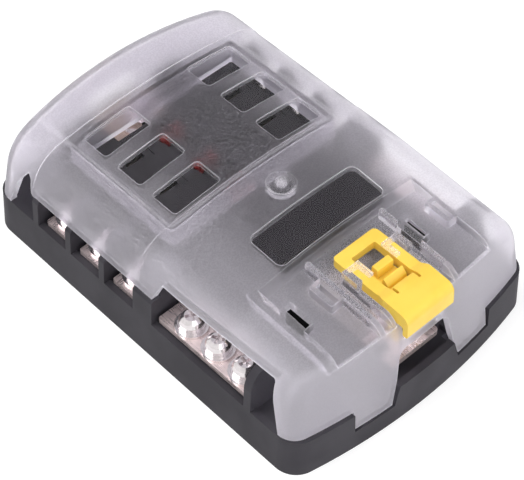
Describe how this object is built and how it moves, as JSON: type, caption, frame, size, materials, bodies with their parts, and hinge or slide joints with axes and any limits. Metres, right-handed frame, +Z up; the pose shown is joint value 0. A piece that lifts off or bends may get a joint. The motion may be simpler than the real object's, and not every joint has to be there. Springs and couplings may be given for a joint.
{
  "type": "fuse block",
  "caption": "Covered blade fuse block with six screw outputs, an earth bus, a frosted lift-off cover and a sliding latch.",
  "frame": {"origin": "middle of the underside, centre of the outline", "axes": "+Z up from the mounting face, +Y along the length towards the positive feed, +X to the right"},
  "size_m": [0.0844, 0.1246, 0.0366],
  "materials": {
    "black_plastic": "fine grained matt black",
    "black_board": "matt black insulating board",
    "frosted_cover": "frosted translucent with polished clear windows",
    "yellow_plastic": "satin yellow",
    "tinned_metal": "tinned, brushed",
    "zinc_steel": "bright zinc plated",
    "green_board": "satin green",
    "black_chip": "matt",
    "red_lamp": "clear red"
  },
  "bodies": {
    "base": {"base_housing": "black_plastic", "bottom_plate": "black_board", "fuse_holder": "black_plastic", "deck_screws": "zinc_steel", "positive_bus": "tinned_metal", "negative_bus": "tinned_metal", "indicator_board": "green_board", "indicator_resistors": "black_chip", "output_plate_1": "tinned_metal", "output_plate_2": "tinned_metal", "output_plate_3": "tinned_metal", "output_plate_4": "tinned_metal", "output_plate_5": "tinned_metal", "output_plate_6": "tinned_metal", "input_clip_1": "tinned_metal", "input_clip_2": "tinned_metal", "input_clip_3": "tinned_metal", "input_clip_4": "tinned_metal", "input_clip_5": "tinned_metal", "input_clip_6": "tinned_metal", "output_clip_1": "tinned_metal", "output_clip_2": "tinned_metal", "output_clip_3": "tinned_metal", "output_clip_4": "tinned_metal", "output_clip_5": "tinned_metal", "output_clip_6": "tinned_metal", "indicator_led_1": "red_lamp", "indicator_led_2": "red_lamp", "indicator_led_3": "red_lamp", "indicator_led_4": "red_lamp", "indicator_led_5": "red_lamp", "indicator_led_6": "red_lamp", "output_washers": "zinc_steel", "output_spring_washers": "zinc_steel", "output_screws": "zinc_steel", "output_nuts": "zinc_steel", "earth_washers": "zinc_steel", "earth_spring_washers": "zinc_steel", "earth_screws": "zinc_steel", "earth_nuts": "zinc_steel", "positive_stud": "zinc_steel", "positive_washer": "zinc_steel", "positive_nut": "zinc_steel", "negative_stud": "zinc_steel", "negative_washer": "zinc_steel", "negative_nut": "zinc_steel"},
    "cover": {"cover": "frosted_cover"},
    "latch": {"cover_latch": "yellow_plastic"}
  },
  "joints": [
    {"name": "cover_lift", "type": "slide", "parent": "base", "child": "cover", "axis": [0, 0, 1], "range_m": [0, 0.045]},
    {"name": "latch_slide", "type": "slide", "parent": "cover", "child": "latch", "axis": [0, -1, 0], "range_m": [0, 0.0022], "stiffness_N_per_m": 200}
  ]
}
